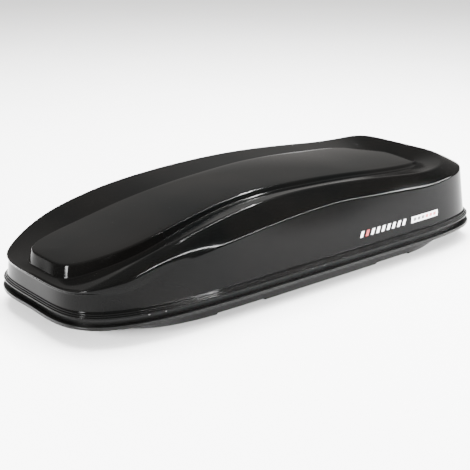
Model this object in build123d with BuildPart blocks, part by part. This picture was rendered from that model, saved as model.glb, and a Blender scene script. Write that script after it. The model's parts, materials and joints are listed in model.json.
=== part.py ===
"""Roof cargo box: moulded base, sculpted lid on three hinges, gas struts and a central lock.

Millimetres. +X is the nose, +Y the hinge side, +Z up. The pads under the base stand on Z = 0.
"""
import os
from math import asin, atan2, cos, degrees, radians, sin

from build123d import *

os.makedirs("parts", exist_ok=True)

# ---------------------------------------------------------------- driving sizes
LENGTH = 2050.0                  # over the base flange
FLANGE_HALF = 422.0
FLANGE_LOW, FLANGE_TOP = 66.0, 78.0
UPSTAND_HALF, UPSTAND_TOP = 401.0, 104.0
SKIN = 4.0                       # moulded wall
TUB_HALF, TUB_NOSE, TUB_TAIL = 345.0, 800.0, -820.0
FRONT_BEND, REAR_BEND = 250.0, -430.0    # where the straight sides end

SKIRT_HALF, SKIRT_LOW = 418.5, 103.0
STEPS = 3                        # fine steps above the skirt
STEP_IN, STEP_UP = 5.0, 5.5
SKIRT_UP = 7.0
HEIGHT = 402.0
WALL_TOP_HALF = 361.0
WALL_ENDS = 1011.0               # lid wall at its foot, nose and tail
WALL_TOP_NOSE, WALL_TOP_TAIL = 985.0, -988.0

BAR_X = (342.0, -473.0)          # crossbar recesses
BAR_WIDE = (229.0, 199.0)
BAR_DEEP = 9.0
SLOT_Y = 240.0
SLOT_LONG, SLOT_R = 150.0, 4.5
RAIL_LONG, RAIL_WIDE, RAIL_THICK = 188.0, 44.0, 2.5

AXIS_Y, AXIS_Z = 399.0, 108.5    # lid hinge axis
HINGE_X = (560.0, 0.0, -600.0)
RIVET_X = (737.0, 5.0, -728.0)
RIVET_GAP = 63.0
RIVET_Z = 95.0
KNUCKLE_R, HINGE_PIN_R = 4.0, 2.0
RUN = 0.05                       # running fit, radial
SIDE = 0.5                       # side gap between knuckles

STRUT_X = (560.0, -660.0)
BASE_PIVOT = (352.0, 62.0)       # y, z
LID_PIVOT = (-50.0, 255.0)
STUD_R = 3.0
OPEN_PIVOT_GAP = 0.3             # rod eye to lid bracket, along X
BARREL_R, ROD_R = 9.0, 4.0

LOCK_Z = 152.0
LOCK_R, PLUG_R = 14.0, 8.0
CAM_R, CAM_PIN_R = 12.0, 2.5
LATCH_Y = -354.5
LATCH_LONG, LATCH_TALL, LATCH_THICK = 850.0, 30.0, 3.0
KEEPER_X = (380.0, 120.0, -360.0)

NOSE = LENGTH / 2


# ---------------------------------------------------------------- shape helpers
def end_curve(half, bend, tip, power, end=3.1):
    """Points round one end of the plan outline, a superellipse from side to side."""
    points = []
    for step in range(13):
        a = radians(90 - 15 * step)
        x = bend + (tip - bend) * max(cos(a), 0) ** (2 / end)
        y = half * abs(sin(a)) ** (2 / power) * (1 if sin(a) >= 0 else -1)
        points.append((round(x, 4), round(y, 4)))
    return points


def plan(half, inset=0.0, nose=None, tail=None):
    """Plan outline of the box as a sketch face, set inside the flange by inset."""
    tip = NOSE - inset if nose is None else nose
    end = -NOSE + inset if tail is None else tail
    with BuildSketch() as face:
        with BuildLine():
            Spline(end_curve(half, FRONT_BEND, tip, 4.6), tangents=((1, 0), (-1, 0)))
            Line((FRONT_BEND, -half), (REAR_BEND, -half))
            Spline(end_curve(-half, REAR_BEND, end, 5.0, 3.6), tangents=((-1, 0), (1, 0)))
            Line((REAR_BEND, half), (FRONT_BEND, half))
        make_face()
    return face.sketch


def slab(outline, low, high):
    return extrude(outline.moved(Location((0, 0, low))), high - low, dir=(0, 0, 1))


def tapered(outline_low, low, outline_high, high):
    return loft([outline_low.moved(Location((0, 0, low))), outline_high.moved(Location((0, 0, high)))],
                ruled=True)


def block(x0, x1, y0, y1, z0, z1):
    return Pos((x0 + x1) / 2, (y0 + y1) / 2, (z0 + z1) / 2) * Box(x1 - x0, y1 - y0, z1 - z0)


def round_x(x0, x1, y, z, r):
    return Pos((x0 + x1) / 2, y, z) * Rot(0, 90, 0) * Cylinder(r, x1 - x0)


def round_y(x, y0, y1, z, r):
    return Pos(x, (y0 + y1) / 2, z) * Rot(90, 0, 0) * Cylinder(r, y1 - y0)


def finish(builder, name):
    builder.part.label = name
    export_step(builder.part, "parts/" + name + ".step")


def keep(name, shape):
    """Write one piece made by the helpers above."""
    with BuildPart() as piece:
        add(shape)
    finish(piece, name)
    return piece.part


# ---------------------------------------------------------------- lid form
# station x, ridge y, ridge height, shoulder slope, channel height
CROWN = (
    (1060.0, 335.0, 140.0, 1.0, 140.0),
    (1010.0, 335.0, 176.0, 1.0, 175.0),
    (970.0, 335.0, 198.0, 1.0, 194.0),
    (930.0, 335.0, 223.0, 1.2, 203.0),
    (865.0, 334.0, 258.0, 1.4, 216.0),
    (700.0, 334.0, 316.0, 1.5, 246.0),
    (500.0, 322.0, 360.0, 1.4, 300.0),
    (300.0, 310.0, 384.0, 1.2, 340.0),
    (100.0, 312.0, 393.0, 1.2, 358.0),
    (-100.0, 326.0, 389.0, 1.4, 362.0),
    (-300.0, 340.0, 377.0, 1.8, 356.0),
    (-500.0, 350.0, 361.0, 2.2, 342.0),
    (-700.0, 350.0, 346.0, 2.0, 328.0),
    (-780.0, 345.0, 349.0, 1.7, 333.0),
    (-830.0, 340.0, 362.0, 1.5, 352.0),
    (-880.0, 335.0, 376.0, 1.3, 374.0),
    (-1060.0, 335.0, 320.0, 1.0, 318.0),
)
CHANNEL_Y = 205.0
# station x, half width, edge height
PLATEAU = (
    (1000.0, 205.0, 238.0),
    (860.0, 205.0, 260.0),
    (700.0, 203.0, 284.0),
    (500.0, 190.0, 327.0),
    (300.0, 176.0, 360.0),
    (100.0, 178.0, 376.0),
    (-100.0, 196.0, 379.0),
    (-300.0, 207.0, 371.0),
    (-500.0, 214.0, 356.0),
    (-700.0, 216.0, 344.0),
    (-880.0, 216.0, 335.0),
)
PLATEAU_CROWN, PLATEAU_NOSE = 9.0, 960.0
SIDE_Y, DEEP = 460.0, 60.0


def crown_section(station, drop):
    """Cross-section of the lid's ridges and channel, as a closed wire."""
    x, ridge_y, ridge_z, slope, channel_z = station
    out_z = ridge_z - slope * (SIDE_Y - ridge_y)
    half = [(SIDE_Y, DEEP - drop), (SIDE_Y, max(out_z, DEEP + 10) - drop),
            (ridge_y, ridge_z - drop), (CHANNEL_Y, channel_z - drop)]
    other = [(-y, z) for y, z in reversed(half)]
    return Wire.make_polygon([(x, y, z) for y, z in half + other], close=True)


def plateau_section(station, drop):
    x, half, edge = station
    half -= drop
    edge -= drop
    with BuildSketch(Plane.YZ.offset(x)) as section:
        with BuildLine():
            ThreePointArc((half, edge), (0, edge + PLATEAU_CROWN), (-half, edge))
            Polyline((-half, edge), (-half - 8, DEEP), (half + 8, DEEP), (half, edge))
        make_face()
    return section.sketch


def lid_form(drop):
    """Lid as a filled body, with every face set in by drop."""
    top = Solid.make_loft([crown_section(s, drop) for s in CROWN])
    raised = loft([plateau_section(s, drop) for s in PLATEAU])
    with BuildSketch() as tongue:
        with BuildLine():
            Spline(end_curve(225.0, 700.0, PLATEAU_NOSE - drop, 3.2), tangents=((1, 0), (-1, 0)))
            Polyline((700, -225), (-870, -225), (-870, 225), (700, 225))
        make_face()
    raised = raised & slab(tongue.sketch, DEEP - 10, HEIGHT + 40)
    low_half = SKIRT_HALF - STEP_IN * STEPS
    wall = tapered(plan(low_half - drop, nose=WALL_ENDS - drop, tail=drop - WALL_ENDS), DEEP + 45,
                   plan(WALL_TOP_HALF - drop, nose=WALL_TOP_NOSE - drop, tail=WALL_TOP_TAIL + drop),
                   HEIGHT + 10)
    return (top & wall) + (raised & wall)


def rim_steps():
    """Skirt and the fine steps above it."""
    body = slab(plan(SKIRT_HALF, FLANGE_HALF - SKIRT_HALF), SKIRT_LOW, SKIRT_LOW + SKIRT_UP)
    for n in range(1, STEPS):
        half = SKIRT_HALF - n * STEP_IN
        low = SKIRT_LOW + SKIRT_UP + (n - 1) * STEP_UP
        body = body + slab(plan(half, FLANGE_HALF - half), low, low + STEP_UP)
    return body


lid_cavity = lid_form(SKIN)
lid_outer = lid_form(0.0)
edge_room = slab(plan(414.0, 8.0), SKIRT_LOW - 5, SKIRT_LOW + 4) + \
    slab(plan(406.5, 15.5), SKIRT_LOW - 5, 113.5)
lid = (lid_outer + rim_steps()) - lid_cavity - edge_room
lid = lid - block(-1100, 1100, -500, 500, 0, SKIRT_LOW)
for hx in HINGE_X:
    lid = lid - block(hx - 31, hx + 31, 380, 404.5, 95, 115)
    for side in (-26, 26):
        lid = lid - Pos(hx + side, 401.5, 117) * Cylinder(1.5, 4.2)
lid = lid - round_y(0, -430, -330, LOCK_Z, LOCK_R + 0.2)
lid_shell = keep("lid_shell", lid)

# ---------------------------------------------------------------- base
tub = tapered(plan(TUB_HALF, nose=TUB_NOSE, tail=TUB_TAIL), 0, plan(392.0, 40.0), FLANGE_LOW)
tub = tub + slab(plan(FLANGE_HALF), FLANGE_LOW, FLANGE_TOP)
tub = tub + slab(plan(UPSTAND_HALF, FLANGE_HALF - UPSTAND_HALF), FLANGE_TOP, UPSTAND_TOP)
room = tapered(plan(TUB_HALF - SKIN, nose=TUB_NOSE - SKIN, tail=TUB_TAIL + SKIN), SKIN,
               plan(392.0 - SKIN, 40.0 + SKIN), FLANGE_LOW + SKIN)
inner_half = UPSTAND_HALF - SKIN
room = room + slab(plan(inner_half, FLANGE_HALF - inner_half), FLANGE_LOW + SKIN, UPSTAND_TOP + 1)
for bx, wide in zip(BAR_X, BAR_WIDE):
    step = wide / 2
    tub = tub - block(bx - step, bx + step, -450, 450, -1, BAR_DEEP)
    room = room - block(bx - step - SKIN, bx + step + SKIN, -450, 450, -1, BAR_DEEP + SKIN)
base = tub - room
FLOOR = BAR_DEEP + SKIN
SLOTS = [(bx, sy) for bx in BAR_X for sy in (SLOT_Y, -SLOT_Y)]
RAIL_RIVET = RAIL_LONG / 2 - 7
for bx, sy in SLOTS:
    with BuildPart() as slot_cut:
        with BuildSketch(Plane.XY.offset(BAR_DEEP - 2)):
            with Locations((bx, sy)):
                SlotOverall(SLOT_LONG, 2 * SLOT_R)
        extrude(amount=SKIN + 4)
        with Locations((bx - RAIL_RIVET, sy, FLOOR), (bx + RAIL_RIVET, sy, FLOOR)):
            Cylinder(2.0, 20)
    base = base - slot_cut.part
for rx in RIVET_X:
    for side in (-RIVET_GAP / 2, RIVET_GAP / 2):
        base = base - round_y(rx + side, 300, 415, RIVET_Z, 2.0)
for sx in STRUT_X:
    for side in (-12, 12):
        base = base - Pos(sx - 20, 300 + side, 5) * Cylinder(2.0, 20)
for kx in KEEPER_X:
    for side in (-10, 10):
        base = base - round_y(kx + side, -410, -390, 96, 1.6)
base_shell = keep("base_shell", base)

# ---------------------------------------------------------------- mounting rails
names = ("front_left", "front_right", "rear_left", "rear_right")
rail_rivets = []
for (bx, sy), name in zip(SLOTS, names):
    with BuildPart() as rail:
        with BuildSketch(Plane.XY.offset(FLOOR)):
            with Locations((bx, sy)):
                Rectangle(RAIL_LONG, RAIL_WIDE)
                SlotOverall(SLOT_LONG, 2 * SLOT_R, mode=Mode.SUBTRACT)
                with Locations((-RAIL_RIVET, 0), (RAIL_RIVET, 0)):
                    Circle(2.0, mode=Mode.SUBTRACT)
        extrude(amount=RAIL_THICK)
        for lip in (-1, 1):
            with BuildSketch(Plane.XY.offset(FLOOR + RAIL_THICK)):
                with Locations((bx, sy + lip * (RAIL_WIDE / 2 - 1.25))):
                    Rectangle(RAIL_LONG, 2.5)
            extrude(amount=5)
    finish(rail, "mount_rail_" + name)
    for side in (-RAIL_RIVET, RAIL_RIVET):
        top = FLOOR + RAIL_THICK
        shank = Pos(bx + side, sy, (BAR_DEEP + top) / 2) * Cylinder(2.0, top - BAR_DEEP)
        head = Pos(bx + side, sy, top + 0.6) * Cylinder(4.0, 1.2)
        rail_rivets.append(shank + head)
keep("mount_rail_rivets", Compound(children=rail_rivets))

# ---------------------------------------------------------------- hinges
strap_face = plan(inner_half, FLANGE_HALF - inner_half) - plan(inner_half - 1.5, FLANGE_HALF - inner_half + 1.5)
strap_ring = slab(strap_face, 86, UPSTAND_TOP)
places = ("front", "middle", "rear")
base_rivets = []
lid_rivets = []
for hx, rx, place in zip(HINGE_X, RIVET_X, places):
    low_x = min(hx - 30, rx - RIVET_GAP / 2 - 10)
    high_x = max(hx + 30, rx + RIVET_GAP / 2 + 10)
    leaf = strap_ring & block(low_x, high_x, 300, 420, 80, 110)
    leaf = leaf + block(hx - 6.5, hx + 6.5, 388, 401, UPSTAND_TOP, AXIS_Z)
    leaf = leaf + round_x(hx - 6.5, hx + 6.5, AXIS_Y, AXIS_Z, KNUCKLE_R)
    leaf = leaf - round_x(hx - 10, hx + 10, AXIS_Y, AXIS_Z, HINGE_PIN_R)
    upper = block(hx - 29, hx + 29, 390, 404, 113.5, 115)
    for side in (-1, 1):
        x0, x1 = sorted((hx + side * (6.5 + SIDE), hx + side * 20))
        upper = upper + round_x(x0, x1, AXIS_Y, AXIS_Z, KNUCKLE_R)
        upper = upper + block(x0, x1, AXIS_Y - 2, AXIS_Y + KNUCKLE_R, AXIS_Z, 113.5)
    upper = upper - round_x(hx - 30, hx + 30, AXIS_Y, AXIS_Z, HINGE_PIN_R + RUN)
    for side in (-26, 26):
        upper = upper - Pos(hx + side, 401.5, 114) * Cylinder(1.5, 4)
        rivet = Pos(hx + side, 401.5, 116.25) * Cylinder(1.5, 5.5)
        lid_rivets.append(rivet + Pos(hx + side, 401.5, 113) * Cylinder(2.4, 1.0))
    for side in (-RIVET_GAP / 2, RIVET_GAP / 2):
        x = rx + side
        leaf = leaf - round_y(x, 300, 415, RIVET_Z, 2.0)
        probe = strap_ring & block(x - 0.5, x + 0.5, 300, 420, RIVET_Z - 1, RIVET_Z + 1)
        face_y = probe.bounding_box().max.Y
        shank = round_y(x, face_y - 1.5, face_y + SKIN, RIVET_Z, 2.0)
        dome = Pos(x, face_y + SKIN - 5.9, RIVET_Z) * Sphere(7.5)
        dome = dome & block(x - 8, x + 8, face_y + SKIN, face_y + SKIN + 8, RIVET_Z - 8, RIVET_Z + 8)
        washer = round_y(x, face_y - 2.7, face_y - 1.5, RIVET_Z, 4.0)
        body = (shank + dome + washer + round_y(x, face_y - 2, face_y + SKIN + 1, RIVET_Z, 2.0))
        base_rivets.append(body - base - leaf)
    keep("hinge_base_leaf_" + place, leaf)
    keep("hinge_lid_leaf_" + place, upper)
    pin = round_x(hx - 21, hx + 21, AXIS_Y, AXIS_Z, HINGE_PIN_R)
    pin = pin + round_x(hx + 20.5, hx + 22.5, AXIS_Y, AXIS_Z, 3.4)
    keep("hinge_pin_" + place, pin)
keep("hinge_base_rivets", Compound(children=[s for r in base_rivets for s in r.solids()]))
keep("hinge_lid_rivets", Compound(children=lid_rivets))

# ---------------------------------------------------------------- gas struts
reach_y = LID_PIVOT[0] - BASE_PIVOT[0]
reach_z = LID_PIVOT[1] - BASE_PIVOT[1]
REACH = (reach_y ** 2 + reach_z ** 2) ** 0.5
LEAN = degrees(atan2(reach_z, reach_y))
BARREL_END = 290.0
bracket_rivets = []
for sx, place in zip(STRUT_X, ("front", "rear")):
    along = Pos(sx, BASE_PIVOT[0], BASE_PIVOT[1]) * Rot(LEAN - 90, 0, 0)
    barrel = along * Pos(0, 0, (18 + BARREL_END) / 2) * Cylinder(BARREL_R, BARREL_END - 18)
    barrel = barrel + along * Pos(0, 0, 11) * Box(7, 10, 18)
    barrel = barrel + along * Rot(0, 90, 0) * Cylinder(7.5, 8)
    barrel = barrel - along * Rot(0, 90, 0) * Cylinder(STUD_R + RUN, 20)
    barrel = barrel - along * Pos(0, 0, (30 + BARREL_END - 12) / 2) * Cylinder(7.5, BARREL_END - 42)
    barrel = barrel - along * Pos(0, 0, BARREL_END) * Cylinder(ROD_R + RUN, 60)
    keep("strut_barrel_" + place, barrel)
    rod_from = 40.0
    rod = along * Pos(0, 0, (rod_from + REACH - 8) / 2) * Cylinder(ROD_R, REACH - 8 - rod_from)
    rod = rod + along * Pos(0, 0, rod_from + 5) * Cylinder(7.1, 10)
    rod = rod + along * Pos(0, 0, REACH) * Rot(0, 90, 0) * Cylinder(9, 8)
    rod = rod + along * Pos(0, 0, REACH) * Rot(0, 90, 0) * Pos(0, 0, 1) * Cylinder(STUD_R, 10)
    rod = rod + along * Pos(0, 0, REACH) * Rot(0, 90, 0) * Pos(0, 0, 6.8) * Cylinder(5, 1.6)
    keep("strut_rod_" + place, rod)
    y, z = BASE_PIVOT
    lower = block(sx - 13, sx - 10, 290, y + 8, SKIN, z + 8)
    lower = (lower + block(sx - 30, sx - 10, 278, y + 8, SKIN, SKIN + 3)) & room
    lower = lower + round_x(sx - 10, sx + 5, y, z, STUD_R)
    lower = lower + round_x(sx - 10, sx - 4.5, y, z, 5.0)
    lower = lower + round_x(sx + 4.6, sx + 6.6, y, z, 5.0)
    for side in (-12, 12):
        spot = Pos(sx - 20, 300 + side, 0)
        lower = lower - spot * Pos(0, 0, 5) * Cylinder(2.0, 20)
        rivet = spot * Pos(0, 0, 3.5) * Cylinder(2.0, 7)
        rivet = rivet + spot * Pos(0, 0, 7.6) * Cylinder(3.8, 1.2)
        bracket_rivets.append(rivet)
    keep("strut_base_bracket_" + place, lower)
    y, z = LID_PIVOT
    pad_low = 318.0 if sx > 0 else 338.0
    near = sx - 4 - OPEN_PIVOT_GAP
    hanger = block(near - 3, near, y - 14, y + 14, z - 8, 420)
    hanger = hanger + block(near - 25, near, y - 22, y + 22, pad_low - 12, 420)
    hanger = hanger & lid_cavity
    keep("strut_lid_bracket_" + place, hanger)
keep("strut_bracket_rivets", Compound(children=bracket_rivets))

# ---------------------------------------------------------------- central lock
housing = round_y(0, -404, -380, LOCK_Z, LOCK_R) + round_y(0, -404, -390, LOCK_Z, 19.0)
housing = housing - lid
housing = housing - round_y(0, -404.5, -370, LOCK_Z, PLUG_R + RUN)
housing = max(housing.solids(), key=lambda s: s.volume)
housing = housing + round_y(0, -384, -380, LOCK_Z, 18.0) - round_y(0, -404.5, -370, LOCK_Z, PLUG_R + RUN)
keep("lock_housing", housing - lid)
plug = round_y(0, -405.5, -366.5, LOCK_Z, PLUG_R)
plug = plug - block(-1, 1, -406, -399, LOCK_Z - 5, LOCK_Z + 5)
keep("lock_plug", plug)
swing = CAM_R * cos(radians(45))
with BuildPart() as cam:
    with BuildSketch(Plane.XZ.offset(366.5)):
        with Locations((0, LOCK_Z)):
            with Locations(Rot(0, 0, 135)):
                SlotCenterToCenter(2 * CAM_R, 13)
    extrude(amount=-3)
    with Locations(Location((-swing, LATCH_Y - 0.5, LOCK_Z + swing), (90, 0, 0))):
        Cylinder(CAM_PIN_R, 20)
finish(cam, "lock_cam")

bar_low = LOCK_Z - 8
bar = block(-LATCH_LONG / 2, LATCH_LONG / 2, LATCH_Y - LATCH_THICK / 2, LATCH_Y + LATCH_THICK / 2,
            bar_low, bar_low + LATCH_TALL)
bar = bar - block(-swing - 4, -swing + 4, LATCH_Y - 5, LATCH_Y + 5, LOCK_Z + 4, LOCK_Z + 17)
keep("latch_bar", bar)
for kx, place in zip(KEEPER_X, places):
    tip = kx - 8
    hook = block(tip - 28, tip - 17, LATCH_Y + 1.5, LATCH_Y + 4.5, 78, bar_low + 24)
    hook = hook + block(tip - 17, tip, LATCH_Y - 1.5, LATCH_Y + 4.5, 78, 84)
    hook = hook + block(tip - 28, tip - 17, LATCH_Y - 1.5, LATCH_Y + 4.5, 78, 84)
    keep("latch_hook_" + place, hook)
for gx, place in ((250.0, "front"), (-250.0, "rear")):
    guide = block(gx - 10, gx + 10, -420, LATCH_Y + 6, bar_low - 6, bar_low + LATCH_TALL + 6)
    guide = guide - block(gx - 20, gx + 20, LATCH_Y - 2.0, LATCH_Y + 2.0, bar_low - 0.5,
                          bar_low + LATCH_TALL + 0.5)
    keep("latch_guide_" + place, guide & lid_cavity)
keeper_rivets = []
for kx, place in zip(KEEPER_X, places):
    keeper = block(kx - 16, kx + 16, -400, -391.5, 84, 103)
    keeper = keeper & room
    keeper = keeper + block(kx - 7, kx + 7, -394, -346, 88, 93)
    for side in (-10, 10):
        keeper = keeper - round_y(kx + side, -410, -380, 96, 1.6)
        face = -UPSTAND_HALF
        probe = base & block(kx + side - 0.4, kx + side + 0.4, -450, -380, 99, 101)
        face = probe.bounding_box().min.Y
        rivet = round_y(kx + side, face - 1.0, -390.5, 96, 1.6)
        rivet = rivet + round_y(kx + side, -391.5, -390.3, 96, 3.0)
        rivet = rivet + round_y(kx + side, face - 1.6, face, 96, 3.0)
        keeper_rivets.append(rivet - base)
    keep("keeper_" + place, keeper)
keep("keeper_rivets", Compound(children=[s for r in keeper_rivets for s in r.solids()]))
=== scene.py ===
import json
import math

import bpy
import numpy as np
from mathutils import Matrix, Vector


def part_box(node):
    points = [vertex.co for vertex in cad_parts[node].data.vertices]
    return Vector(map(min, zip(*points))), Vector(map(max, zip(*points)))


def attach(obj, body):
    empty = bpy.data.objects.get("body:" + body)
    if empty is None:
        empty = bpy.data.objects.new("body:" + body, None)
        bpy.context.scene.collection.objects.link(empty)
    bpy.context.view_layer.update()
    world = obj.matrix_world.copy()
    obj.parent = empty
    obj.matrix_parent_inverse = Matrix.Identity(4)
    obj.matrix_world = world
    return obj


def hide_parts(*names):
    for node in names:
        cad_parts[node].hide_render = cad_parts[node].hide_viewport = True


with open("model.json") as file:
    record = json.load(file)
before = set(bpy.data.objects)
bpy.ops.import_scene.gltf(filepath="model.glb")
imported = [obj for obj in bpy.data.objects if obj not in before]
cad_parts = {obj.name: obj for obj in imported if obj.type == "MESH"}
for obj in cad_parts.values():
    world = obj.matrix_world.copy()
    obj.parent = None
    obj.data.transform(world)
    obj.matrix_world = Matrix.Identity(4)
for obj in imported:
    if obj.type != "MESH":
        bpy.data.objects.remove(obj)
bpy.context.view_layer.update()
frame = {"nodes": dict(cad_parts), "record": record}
nodes = frame["nodes"]

# ------------------------------------------------------------ sizes, metres
FRONT_BEND, REAR_BEND = 0.250, -0.430      # where the straight sides end
NOSE_POWER, TAIL_POWER, NOSE_END, TAIL_END = 4.6, 5.0, 3.1, 3.6
CROWN = 0.009                              # rise of the plateau at its middle
TIP_REACH = 0.603                          # nose and tail beyond the half width, on the rim outlines
SKIRT_HALF, SKIRT_TOP = 0.4185, 0.110
WALL_FROM, WALL_TO = 0.105, 0.412          # heights between which the drafted wall is set out
WALL_LOW_HALF, WALL_LOW_TIP = 0.4035, 1.011
WALL_HIGH_HALF, WALL_HIGH_NOSE, WALL_HIGH_TAIL = 0.361, 0.985, -0.988
WALL_FOOT = 0.1225
STEPS = ((0.4142, 0.1108, 0.1152), (0.4096, 0.1162, 0.1205))    # half width, low, high
HEM = ((0.4065, 0.0105), (0.4075, 0.0045), (0.4125, 0.0005))    # half width, height over the lid's edge
CHANNEL_OUT = 0.010                        # foot of the plateau's side, beyond its top edge
LID_SKIN = 0.0035
BEAD_HALF_WIDE, BEAD_HALF_TALL, BEAD_IN, BEAD_Z = 0.0052, 0.0068, 0.0045, 0.072
LID_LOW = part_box("lid_shell")[0].z
FLANGE_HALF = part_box("base_shell")[1].y


# ------------------------------------------------------------ plan outlines
def end_angles(count, power, end):
    """Angles round one end of the plan that give evenly spaced points on it."""
    near = np.linspace(0, 1, 1200) ** 3 * math.pi / 4
    a = np.concatenate([near, math.pi / 2 - near[::-1]])
    x = 0.76 * np.cos(a).clip(0) ** (2 / end)
    y = 0.40 * np.sin(a).clip(0) ** (2 / power)
    run = np.concatenate([[0], np.cumsum(np.hypot(np.diff(x), np.diff(y)))])
    return np.interp(np.linspace(0, run[-1], count), run, a)


NOSE_A = end_angles(120, NOSE_POWER, NOSE_END)
TAIL_A = end_angles(120, TAIL_POWER, TAIL_END)[::-1]
SIDE_X = np.linspace(FRONT_BEND, REAR_BEND, 96)[1:-1]


def curve(*points, soft=0.028):
    """A function of x led by (x, value) pairs: cubic pieces, softened along x."""
    xs, vs = np.array(sorted(points), float).T
    fine = np.linspace(-1.3, 1.3, 2601)
    d = np.diff(vs) / np.diff(xs)
    slope = np.concatenate([[d[0]], (d[1:] + d[:-1]) / 2, [d[-1]]])
    i = np.clip(np.searchsorted(xs, fine) - 1, 0, len(xs) - 2)
    h = xs[i + 1] - xs[i]
    t = np.clip((fine - xs[i]) / h, 0, 1)
    level = ((2 * t ** 3 - 3 * t ** 2 + 1) * vs[i] + (t ** 3 - 2 * t ** 2 + t) * h * slope[i]
             + (3 * t ** 2 - 2 * t ** 3) * vs[i + 1] + (t ** 3 - t ** 2) * h * slope[i + 1])
    reach = np.arange(-120, 121) * 0.001
    weight = np.exp(-0.5 * (reach / soft) ** 2)
    level = np.convolve(np.pad(level, 120, mode="edge"), weight / weight.sum(), mode="valid")
    return lambda x: np.interp(x, fine, level)


def ring(half, nose, tail, z):
    """Closed loop of points round the box. half and z are numbers or functions of x."""
    x = np.concatenate([FRONT_BEND + (nose - FRONT_BEND) * np.cos(NOSE_A).clip(0) ** (2 / NOSE_END), SIDE_X,
                        REAR_BEND + (tail - REAR_BEND) * np.cos(TAIL_A).clip(0) ** (2 / TAIL_END)])
    f = np.concatenate([np.sin(NOSE_A).clip(0) ** (2 / NOSE_POWER), np.ones(len(SIDE_X)),
                        np.sin(TAIL_A).clip(0) ** (2 / TAIL_POWER)])
    y = f * (half(x) if callable(half) else half)
    h = z(x) if callable(z) else np.full(len(x), z)
    left = np.stack([x, y, h], 1)
    right = left[1:-1][::-1] * (1, -1, 1)
    return np.concatenate([left, right])


def rim_ring(half, z):
    """Loop that keeps the same reach at nose and tail whatever its half width."""
    return ring(half, half + TIP_REACH, -half - TIP_REACH, z)


def rounded(rings, radii, steps=5):
    """Rings of a profile with each corner rounded by its radius."""
    out = [rings[0]]
    for before, here, after, r in zip(rings, rings[1:], rings[2:], radii[1:]):
        a, b = before - here, after - here
        la = np.linalg.norm(a, axis=1, keepdims=True) + 1e-9
        lb = np.linalg.norm(b, axis=1, keepdims=True) + 1e-9
        p = here + a / la * np.minimum(r, 0.45 * la)
        q = here + b / lb * np.minimum(r, 0.45 * lb)
        for t in np.linspace(0, 1, steps):
            out.append((1 - t) ** 2 * p + 2 * t * (1 - t) * here + t ** 2 * q)
    out.append(rings[-1])
    return out


def bulged(a, b, lift, count=4):
    """Rings between a and b that swell outwards by lift, a function of x, at the middle."""
    step = b - a
    flat = np.hypot(step[:, 0], step[:, 1]) + 1e-9
    away = np.stack([-step[:, 0] / flat * step[:, 2], -step[:, 1] / flat * step[:, 2], flat], 1)
    away /= np.linalg.norm(away, axis=1, keepdims=True) + 1e-9
    amount = lift(a[:, 0])[:, None]
    return [a + step * t + away * amount * 4 * t * (1 - t) for t in np.linspace(0, 1, count + 2)[1:-1]]


def mesh(name, verts, faces, body, material, smooth=True):
    data = bpy.data.meshes.new(name)
    data.from_pydata([tuple(map(float, v)) for v in verts], [], faces)
    data.validate()
    if smooth:
        data.polygons.foreach_set("use_smooth", [True] * len(data.polygons))
    data.materials.append(material)
    obj = bpy.data.objects.new(name, data)
    bpy.context.collection.objects.link(obj)
    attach(obj, body)
    return obj


def strips(loops, closed=False):
    """Quads between successive loops; closed joins the last loop to the first."""
    n = len(loops[0])
    faces = []
    pairs = len(loops) if closed else len(loops) - 1
    for j in range(pairs):
        a, b = j * n, (j + 1) % len(loops) * n
        for i in range(n):
            k = (i + 1) % n
            faces.append((a + i, a + k, b + k, b + i))
    return faces


# ------------------------------------------------------------ materials
class Nodes:
    """Short hand for building a node material."""

    def __init__(self, name):
        self.m = bpy.data.materials.new(name)
        self.m.use_nodes = True
        self.t = self.m.node_tree
        self.p = self.t.nodes["Principled BSDF"]
        self.place = self.add("ShaderNodeTexCoord").outputs["Object"]

    def add(self, kind, **sockets):
        n = self.t.nodes.new(kind)
        for key, value in sockets.items():
            n.inputs[key.replace("_", " ")].default_value = value
        return n

    def noise(self, scale, detail=3.0, stretch=(1, 1, 1)):
        m = self.add("ShaderNodeMapping")
        m.inputs["Scale"].default_value = stretch
        self.t.links.new(self.place, m.inputs["Vector"])
        n = self.add("ShaderNodeTexNoise", Scale=scale, Detail=detail)
        self.t.links.new(m.outputs["Vector"], n.inputs["Vector"])
        return n.outputs["Fac"]

    def ramp(self, source, low, high, lo=0.35, hi=0.65):
        r = self.add("ShaderNodeValToRGB")
        r.color_ramp.elements[0].position = lo
        r.color_ramp.elements[1].position = hi
        r.color_ramp.elements[0].color = (*low, 1)
        r.color_ramp.elements[1].color = (*high, 1)
        self.t.links.new(source, r.inputs["Fac"])
        return r.outputs["Color"]

    def spread(self, source, low, high):
        r = self.add("ShaderNodeMapRange")
        r.inputs["To Min"].default_value = low
        r.inputs["To Max"].default_value = high
        self.t.links.new(source, r.inputs["Value"])
        return r.outputs["Result"]

    def bump(self, source, strength, distance):
        b = self.add("ShaderNodeBump", Strength=strength, Distance=distance)
        self.t.links.new(source, b.inputs["Height"])
        self.t.links.new(b.outputs["Normal"], self.p.inputs["Normal"])

    def link(self, source, socket):
        self.t.links.new(source, self.p.inputs[socket])


def gloss_black(name):
    """High-gloss moulded plastic: near black, slightly uneven gloss and a faint orange peel."""
    n = Nodes(name)
    n.link(n.ramp(n.noise(3.0), (0.0009, 0.0010, 0.0010), (0.0017, 0.0016, 0.0015)), "Base Color")
    n.link(n.spread(n.noise(26.0, 6.0), 0.06, 0.11), "Roughness")
    n.p.inputs["Specular IOR Level"].default_value = 0.045
    n.bump(n.noise(190.0, 2.0), 0.010, 0.0006)
    return n.m


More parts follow.
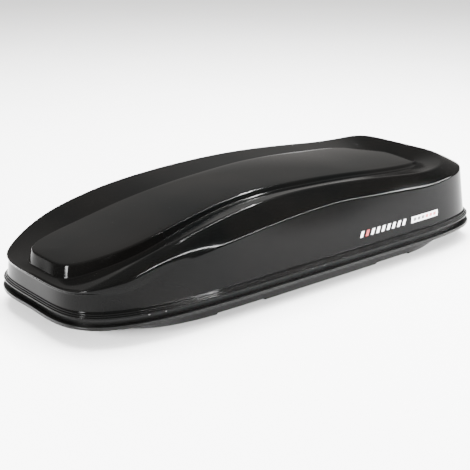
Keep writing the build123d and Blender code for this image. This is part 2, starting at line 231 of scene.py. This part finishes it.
def satin_plastic(name, low, high, rough=(0.38, 0.55), grain=900.0, strength=0.12, shine=0.3):
    n = Nodes(name)
    n.p.inputs["Specular IOR Level"].default_value = shine
    n.link(n.ramp(n.noise(7.0), low, high), "Base Color")
    n.link(n.spread(n.noise(60.0), *rough), "Roughness")
    n.bump(n.noise(grain, 4.0), strength, 0.0004)
    return n.m


def metal(name, low, high, rough=(0.22, 0.4), stretch=(1, 1, 12)):
    n = Nodes(name)
    n.link(n.ramp(n.noise(40.0, 4.0, stretch), low, high), "Base Color")
    n.p.inputs["Metallic"].default_value = 1.0
    n.link(n.spread(n.noise(140.0, 3.0, stretch), *rough), "Roughness")
    n.bump(n.noise(420.0, 2.0, stretch), 0.05, 0.0002)
    return n.m


def print_ink(name, low, high):
    n = Nodes(name)
    n.link(n.ramp(n.noise(90.0), low, high), "Base Color")
    n.link(n.spread(n.noise(200.0), 0.25, 0.4), "Roughness")
    return n.m


LOOKS = {
    "lid_gloss": gloss_black("lid_gloss"),
    "base_satin": satin_plastic("base_satin", (0.0018, 0.0018, 0.0018), (0.0036, 0.0036, 0.0034),
                                (0.25, 0.40), shine=0.09),
    "steel": metal("steel", (0.42, 0.42, 0.43), (0.6, 0.6, 0.6)),
    "rivet": metal("rivet", (0.10, 0.10, 0.10), (0.18, 0.18, 0.18), (0.2, 0.32), (1, 1, 1)),
    "black_steel": satin_plastic("black_steel", (0.01, 0.01, 0.01), (0.02, 0.02, 0.02),
                                 (0.25, 0.4), 500.0, 0.06),
    "rod_chrome": metal("rod_chrome", (0.75, 0.75, 0.77), (0.85, 0.85, 0.87), (0.05, 0.12)),
    "latch_plastic": satin_plastic("latch_plastic", (0.03, 0.03, 0.032), (0.05, 0.05, 0.052)),
    "lid_inner": satin_plastic("lid_inner", (0.006, 0.006, 0.006), (0.011, 0.011, 0.0105),
                               (0.45, 0.6), shine=0.2),
    "print_white": print_ink("print_white", (0.78, 0.78, 0.77), (0.86, 0.86, 0.86)),
    "print_red": print_ink("print_red", (0.26, 0.003, 0.005), (0.34, 0.005, 0.008)),
    "print_pink": print_ink("print_pink", (0.34, 0.05, 0.06), (0.42, 0.08, 0.08)),
    "print_grey": print_ink("print_grey", (0.06, 0.06, 0.065), (0.10, 0.10, 0.10)),
    "lock_metal": metal("lock_metal", (0.5, 0.5, 0.51), (0.66, 0.66, 0.66), (0.15, 0.3), (1, 8, 1)),
}
for part in frame["record"]["subparts"]:
    node = nodes[part["node"]]
    node.data.materials.clear()
    node.data.materials.append(LOOKS[part["material_slot"]])

# ------------------------------------------------------------ lid
RIDGE_TIPS, CHANNEL_TIPS, PLATEAU_TIPS = (0.998, -0.875), (0.972, -0.828), (0.959, -0.818)
crease_z = curve((1.01, 0.177), (0.963, 0.185), (0.92, 0.184), (0.88, 0.184), (0.83, 0.184), (0.79, 0.198),
                 (0.73, 0.223), (0.6, 0.253), (0.33, 0.291), (0.08, 0.316), (-0.13, 0.323), (-0.35, 0.309),
                 (-0.65, 0.291), (-0.75, 0.294), (-0.83, 0.299), (-0.90, 0.300), (-0.98, 0.314))
ridge_half = curve((1.0, 0.386), (0.93, 0.384), (0.86, 0.374), (0.7, 0.356), (0.5, 0.342), (0.3, 0.328),
                   (0.1, 0.322), (-0.1, 0.330), (-0.3, 0.341), (-0.5, 0.350), (-0.95, 0.352))
ridge_z = curve((0.998, 0.182), (0.97, 0.195), (0.93, 0.215), (0.9, 0.232), (0.865, 0.248), (0.77, 0.286),
                (0.7, 0.307), (0.5, 0.350), (0.3, 0.376), (0.1, 0.388), (-0.1, 0.387), (-0.3, 0.376),
                (-0.5, 0.359), (-0.64, 0.347), (-0.72, 0.3455), (-0.80, 0.351), (-0.84, 0.362),
                (-0.875, 0.377))
channel_z = curve((0.97, 0.193), (0.93, 0.202), (0.86, 0.216), (0.7, 0.246), (0.5, 0.298), (0.3, 0.338),
                  (0.1, 0.357), (-0.1, 0.361), (-0.3, 0.355), (-0.5, 0.341), (-0.7, 0.328), (-0.84, 0.322))
shoulder_lift = curve((1.0, 0.010), (0.8, 0.012), (0.5, 0.004), (0.1, 0.001), (-0.5, 0.001), (-1.0, 0.002))
plateau_half = curve((0.95, 0.211), (0.7, 0.203), (0.5, 0.190), (0.3, 0.176), (0.1, 0.178), (-0.1, 0.196),
                     (-0.3, 0.207), (-0.5, 0.214), (-0.84, 0.216))
plateau_z = curve((0.96, 0.243), (0.86, 0.259), (0.7, 0.285), (0.5, 0.327), (0.3, 0.360), (0.1, 0.376),
                  (-0.1, 0.379), (-0.3, 0.371), (-0.5, 0.356), (-0.7, 0.343), (-0.84, 0.333))


def wall_ring(z):
    """Loop on the drafted wall at height z, a number or a function of x."""
    low = ring(WALL_LOW_HALF, WALL_LOW_TIP, -WALL_LOW_TIP, WALL_FROM)
    high = ring(WALL_HIGH_HALF, WALL_HIGH_NOSE, WALL_HIGH_TAIL, WALL_TO)
    h = z(low[:, 0])[:, None] if callable(z) else np.full((len(low), 1), z)
    t = (h - WALL_FROM) / (WALL_TO - WALL_FROM)
    return low + (high - low) * t


def crown_rings(edge, count=12):
    """Rings that close the plateau, from its edge in to its middle line."""
    middle = edge * (0.93, 0.0, 1.0)
    rings = []
    for t in np.linspace(0.12, 1.0, count):
        p = edge + (middle - edge) * t
        p[:, 2] = plateau_z(p[:, 0]) + CROWN * (1 - (1 - t) ** 2)
        rings.append(p)
    return rings


def lid_profile():
    """Outer surface of the lid as rings, from the hem inside the skirt up to the plateau."""
    rings = [rim_ring(half, LID_LOW + up) for half, up in HEM]
    rings += [rim_ring(SKIRT_HALF, LID_LOW), rim_ring(SKIRT_HALF, SKIRT_TOP)]
    radii = [0, 0.001, 0.001, 0.0015, 0.0022]
    for half, low, high in STEPS:
        rings += [rim_ring(half, low), rim_ring(half, high)]
        radii += [0.0016, 0.0030]
    rings += [wall_ring(WALL_FOOT), wall_ring(crease_z)]
    radii += [0.0050, 0.005]
    ridge = ring(ridge_half, *RIDGE_TIPS, ridge_z)
    shoulder = bulged(rings[-1], ridge, shoulder_lift)
    channel = ring(lambda x: plateau_half(x) + CHANNEL_OUT, *CHANNEL_TIPS, channel_z)
    plateau = ring(plateau_half, *PLATEAU_TIPS, plateau_z)
    rings += shoulder + [ridge, channel, plateau]
    radii += [0.02] * len(shoulder) + [0.0085, 0.006, 0.0075]
    crown = crown_rings(plateau)
    return rounded(rings + crown[:1], radii + [0])[:-1] + crown[1:]


loops = lid_profile()
lid = mesh("lid_skin", np.concatenate(loops), strips(loops), "lid", LOOKS["lid_gloss"])
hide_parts("lid_shell")
weld = lid.modifiers.new("weld", "WELD")
weld.merge_threshold = 0.00005
shell = lid.modifiers.new("shell", "SOLIDIFY")
shell.thickness = LID_SKIN
shell.offset = -1
lid.data.materials.append(LOOKS["lid_inner"])
shell.material_offset = 1

# ------------------------------------------------------------ printed trim on the left wall
def on_wall(x, z, proud):
    """Point on the left wall of the lid, proud of it by a small amount."""
    loop = wall_ring(z)
    left = loop[:len(NOSE_A) + len(SIDE_X) + len(TAIL_A)]
    return x, float(np.interp(-x, -left[:, 0], left[:, 1])) + proud, z


def printed(name, marks, look, proud=0.0007, pieces=6):
    """Slanted bars lying on the wall; each mark is (x at front, x at back, low z, high z, slant)."""
    verts, faces = [], []
    for front, back, low, high, slant in marks:
        start = len(verts)
        end = start + 4 * pieces
        for x in np.linspace(front, back, pieces + 1):
            for up, depth in ((0, 0), (0, proud), (1, proud), (1, 0)):
                verts.append(on_wall(x - slant * up, low + (high - low) * up, depth))
        faces += [(start + 3, start + 2, start + 1, start), (end, end + 1, end + 2, end + 3)]
        for a in range(start, end, 4):
            faces += [(a + k, a + (k + 1) % 4, a + 4 + (k + 1) % 4, a + 4 + k) for k in range(4)]
    obj = mesh(name, verts, faces, "lid", LOOKS[look], smooth=False)
    return obj


BAR_COUNT, BAR_FROM, BAR_LONG, BAR_STEP, BAR_SLANT = 9, -0.222, 0.015, 0.0305, 0.012
BAR_LOW, BAR_HIGH = 0.160, 0.183
LABEL_FROM, LABEL_TO, LABEL_LOW, LABEL_HIGH, LABEL_SLANT = -0.522, -0.690, 0.158, 0.183, 0.004
BLOCK_COUNT, BLOCK_IN, BLOCK_LONG, BLOCK_STEP, BLOCK_SLANT = 6, 0.014, 0.016, 0.025, 0.003
BLOCK_LOW, BLOCK_HIGH, BLOCK_PROUD = 0.165, 0.177, 0.0011
bars = []
for i in range(BAR_COUNT):
    front = BAR_FROM - i * BAR_STEP
    bars.append((front, front - BAR_LONG, BAR_LOW, BAR_HIGH, BAR_SLANT))
blocks = []
for i in range(BLOCK_COUNT):
    front = LABEL_FROM - BLOCK_IN - i * BLOCK_STEP
    blocks.append((front, front - BLOCK_LONG, BLOCK_LOW, BLOCK_HIGH, BLOCK_SLANT))
printed("trim_bars_white", bars[:1] + bars[2:], "print_white")
printed("trim_bar_red", bars[1:2], "print_red")
printed("trim_label", [(LABEL_FROM, LABEL_TO, LABEL_LOW, LABEL_HIGH, LABEL_SLANT)], "print_white")
printed("trim_label_grey", blocks[:3], "print_grey", BLOCK_PROUD)
printed("trim_label_pink", blocks[3:], "print_pink", BLOCK_PROUD)

# ------------------------------------------------------------ rolled edge of the base flange
bead = []
for a in np.linspace(0, 2 * math.pi, 17)[:-1]:
    half = FLANGE_HALF - BEAD_IN + BEAD_HALF_WIDE * math.cos(a)
    bead.append(rim_ring(half, BEAD_Z + BEAD_HALF_TALL * math.sin(a)))
rim = mesh("base_rim_bead", np.concatenate(bead), strips(bead, closed=True), "base", LOOKS["base_satin"])

# ------------------------------------------------------------ stage, lights, camera
def area(name, size, power, place, aim, size_y=None):
    """Area lamp at place, facing aim; size_y makes it a strip."""
    data = bpy.data.lights.new(name, "AREA")
    data.energy = power
    data.size = size
    if size_y:
        data.shape = "RECTANGLE"
        data.size_y = size_y
    obj = bpy.data.objects.new(name, data)
    bpy.context.collection.objects.link(obj)
    obj.location = place
    obj.rotation_euler = (Vector(aim) - Vector(place)).to_track_quat("-Z", "Y").to_euler()
    return obj


FLOOR_REACH = 60.0
floor_data = bpy.data.meshes.new("floor")
corners = [(x * FLOOR_REACH, y * FLOOR_REACH, 0) for x, y in ((-1, -1), (1, -1), (1, 1), (-1, 1))]
floor_data.from_pydata(corners, [], [(0, 1, 2, 3)])
floor = bpy.data.objects.new("floor", floor_data)
bpy.context.collection.objects.link(floor)
pale = Nodes("floor_pale")
pale.link(pale.ramp(pale.noise(0.6), (0.86, 0.86, 0.86), (0.88, 0.88, 0.88)), "Base Color")
pale.p.inputs["Roughness"].default_value = 0.9
floor_data.materials.append(pale.m)

# A soft sky, darker towards the horizon so that it stays out of the flat top's reflection.
SKY_STRENGTH = 1.5
SKY_LOW, SKY_HIGH = (0.25, (0.34, 0.33, 0.32, 1)), (0.75, (1.0, 0.99, 0.97, 1))
world = bpy.data.worlds.new("studio")
bpy.context.scene.world = world
world.use_nodes = True
tree = world.node_tree
background = tree.nodes["Background"]
background.inputs["Strength"].default_value = SKY_STRENGTH
sky = tree.nodes.new("ShaderNodeValToRGB")
height = tree.nodes.new("ShaderNodeSeparateXYZ")
where = tree.nodes.new("ShaderNodeTexCoord")
tree.links.new(where.outputs["Generated"], height.inputs["Vector"])
tree.links.new(height.outputs["Z"], sky.inputs["Fac"])
tree.links.new(sky.outputs["Color"], background.inputs["Color"])
for stop, (position, colour) in zip(sky.color_ramp.elements, (SKY_LOW, SKY_HIGH)):
    stop.position = position
    stop.color = colour

# The big lamp whitens the floor and is left out of reflections. The narrow ones draw the highlights.
overhead = area("overhead", 5.0, 2600, (-0.5, -1.0, 6.0), (0, 0, 0.2))
overhead.visible_glossy = False
area("low_strip", 7.0, 950, (-2.4, 3.9, 1.15), (-0.2, 0.35, 0.25), 0.045)
area("top_strip", 7.0, 900, (-2.2, 0.75, 4.6), (0.2, 0.2, 0.3), 0.05)
area("nose_box", 0.80, 500, (4.4, 0.9, 1.5), (0.9, 0, 0.2))

TURN, ELEVATION, ROLL = 0.68045, 0.32554, -0.00624      # radians; TURN is from +Y towards +X
DISTANCE = 3.96722
AIM = Vector((0.20723, 0.14159, 0.2))
SENSOR_MM, LENS_MM = 36, 78.57084
FAR_CLIP = 200
level = math.cos(ELEVATION)
toward = Vector((level * math.sin(TURN), level * math.cos(TURN), math.sin(ELEVATION)))
right = Vector((-math.cos(TURN), math.sin(TURN), 0))
up = toward.cross(right)
cam_data = bpy.data.cameras.new("camera")
cam_data.sensor_width = SENSOR_MM
cam_data.lens = LENS_MM
cam_data.clip_end = FAR_CLIP
cam = bpy.data.objects.new("camera", cam_data)
bpy.context.collection.objects.link(cam)
turned = Matrix((right, up, toward)).transposed() @ Matrix.Rotation(ROLL, 3, "Z")
cam.matrix_world = Matrix.Translation(AIM + toward * DISTANCE) @ turned.to_4x4()
bpy.context.scene.camera = cam
